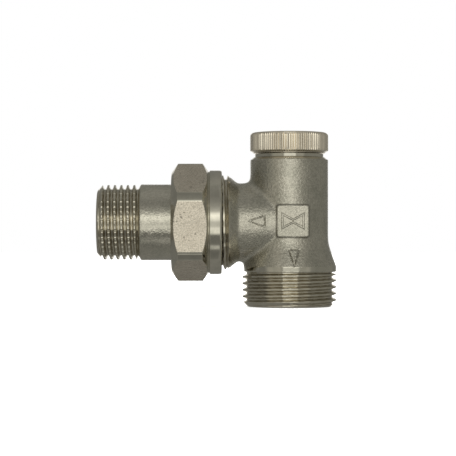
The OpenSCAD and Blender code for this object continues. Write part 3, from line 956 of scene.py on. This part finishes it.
def make_camera():
    """Level with the branch, in front of the whole valve, and aimed a trace up and to the right."""
    data = bpy.data.cameras.new("camera")
    data.sensor_width = SENSOR
    data.lens = SENSOR * CAMERA_DISTANCE / PICTURE_WIDTH
    data.clip_start = 0.01
    camera = bpy.data.objects.new("camera", data)
    bpy.context.scene.collection.objects.link(camera)
    tilt = math.atan((AIM_HEIGHT - CAMERA_HEIGHT) / CAMERA_DISTANCE)
    pan = math.atan((AIM_SIDE - CAMERA_SIDE) / CAMERA_DISTANCE)
    camera.location = (CAMERA_SIDE * MM, -CAMERA_DISTANCE * MM, CAMERA_HEIGHT * MM)
    camera.rotation_euler = (math.radians(90) + tilt, 0, -pan)
    bpy.context.scene.camera = camera


# Levels by degrees of height: the room all round, and the window behind the camera.
ROOM_STOPS = ((-90, 0.250), (-60, 0.240), (-35, 0.205), (0, 0.205), (30, 0.225), (60, 0.280),
              (90, 0.330))
WINDOW_STOPS = ((-90, 0.200), (-68, 0.175), (-63, 0.230), (-60, 0.560), (-55, 0.560),
                (-50, 0.220), (-45, 0.195), (-29, 0.195), (-25, 0.850), (-22, 1.080),
                (-13, 1.040), (-9, 0.720), (0, 0.720), (5, 1.150), (14, 1.450), (19, 1.150),
                (24, 0.620), (34, 0.420), (45, 0.300), (60, 0.230), (90, 0.290))
WARM = (1.0, 0.985, 0.895)
# Lowest and highest swing, lowest and highest height, softness, all in degrees, and the colour.
PANELS = ((-62, -20, -38, 45, 8, rgb(0.42, 0.405, 0.352)),
          (20, 52, -35, 40, 6, rgb(0.40, 0.39, 0.345)),
          (50, 130, -35, 40, 8, rgb(0.25, 0.247, 0.22)))
WINDOW_HALF_SWING = 20
BACK_WINDOW = rgb(0.85, 0.83, 0.78)
WHITE = rgb(1.0, 1.0, 1.0)


def make_world():
    """A dim room with one window behind the camera, seen as white by the camera itself."""
    world = bpy.data.worlds.new("studio")
    bpy.context.scene.world = world
    world.use_nodes = True
    world.node_tree.nodes.clear()
    nodes = Nodes(world.node_tree)
    way = nodes.add("ShaderNodeTexCoord").outputs["Generated"]
    split = nodes.add("ShaderNodeSeparateXYZ", {0: way})
    x, y, z = split.outputs
    height = nodes.math("MULTIPLY", nodes.math("ARCSINE", z), 180 / math.pi)
    swing = nodes.math("MULTIPLY", nodes.math("ARCTAN2", x, nodes.math("MULTIPLY", y, -1.0)),
                       180 / math.pi)

    def band(value, low, high, soft):
        return nodes.math("MULTIPLY", nodes.remap(value, low - soft, low + soft),
                          nodes.remap(value, high - soft, high + soft, 1.0, 0.0))

    def patch(lo_swing, hi_swing, lo_height, hi_height, soft):
        return nodes.math("MULTIPLY", band(swing, lo_swing, hi_swing, soft),
                          band(height, lo_height, hi_height, soft))

    share = nodes.math("DIVIDE", nodes.math("ADD", height, 90.0), 180.0)
    room = nodes.ramp(share, ROOM_STOPS)
    for *place, colour in PANELS:
        room = nodes.mix(patch(*place), room, colour)
    window = band(swing, -WINDOW_HALF_SWING, WINDOW_HALF_SWING, 2.0)
    room = nodes.mix(window, room, nodes.ramp(share, WINDOW_STOPS))
    behind = nodes.remap(nodes.math("ABSOLUTE", swing), 158, 164)
    back_window = nodes.math("MULTIPLY", behind, band(height, -14, 16, 4))
    room = nodes.mix(back_window, room, BACK_WINDOW)
    seen = nodes.add("ShaderNodeLightPath").outputs["Is Camera Ray"]
    glow = nodes.add("ShaderNodeBackground", {"Color": nodes.mix(seen, room, WHITE),
                                              "Strength": 1.0})
    output = nodes.add("ShaderNodeOutputWorld")
    world.node_tree.links.new(glow.outputs[0], output.inputs[0])


def make_floor():
    """A large pale floor, in metres, under the lower port that the metal doesn't mirror."""
    size, drop = 3.0, 0.0002
    segments = 24
    span = np.linspace(-size / 2, size / 2, segments + 1)
    gx, gy = np.meshgrid(span, span, indexing="ij")
    points = np.stack([gx, gy, np.full_like(gx, -drop)], -1).reshape(-1, 3)
    i, j = np.meshgrid(np.arange(segments), np.arange(segments), indexing="ij")
    n = segments + 1
    faces = np.stack([i * n + j, (i + 1) * n + j, (i + 1) * n + j + 1, i * n + j + 1], -1)
    mesh = bpy.data.meshes.new("floor")
    mesh.from_pydata(points.tolist(), [], faces.reshape(-1, 4).tolist())
    material, nodes, shader, place = start_material("pale_floor")
    tone = nodes.add("ShaderNodeTexNoise", {"Vector": place, "Scale": 6.0, "Detail": 2.0})
    colour = nodes.mix(tone.outputs["Fac"], rgb(0.90, 0.90, 0.90), rgb(0.93, 0.93, 0.93))
    material.node_tree.links.new(colour, shader.inputs["Base Color"])
    material.node_tree.links.new(colour, shader.inputs["Emission Color"])
    shader.inputs["Emission Strength"].default_value = 0.85
    shader.inputs["Roughness"].default_value = 0.9
    shader.inputs["Specular IOR Level"].default_value = 0.0
    mesh.materials.append(material)
    floor = bpy.data.objects.new("floor", mesh)
    bpy.context.scene.collection.objects.link(floor)
    floor.visible_glossy = False
    floor.visible_diffuse = False


def make_lights():
    """One broad overhead light for the floor, which the metal doesn't mirror."""
    data = bpy.data.lights.new("overhead", "AREA")
    data.shape = "SQUARE"
    data.size = 1.6
    data.energy = 62.0
    overhead = bpy.data.objects.new("overhead", data)
    overhead.location = (-0.1, -0.25, 1.5)
    overhead.rotation_euler = (math.radians(-9), 0, 0)
    overhead.visible_glossy = False
    bpy.context.scene.collection.objects.link(overhead)


make_camera()
make_world()
make_floor()
make_lights()
make_forging()
make_port()
make_union_thread()
make_rim()
make_pad_mark()
make_bonnet()
make_cap()
make_nut()
make_tailpiece()
make_key_lugs()
dress_cad_nodes()
bpy.context.scene.view_settings.view_transform = "Standard"
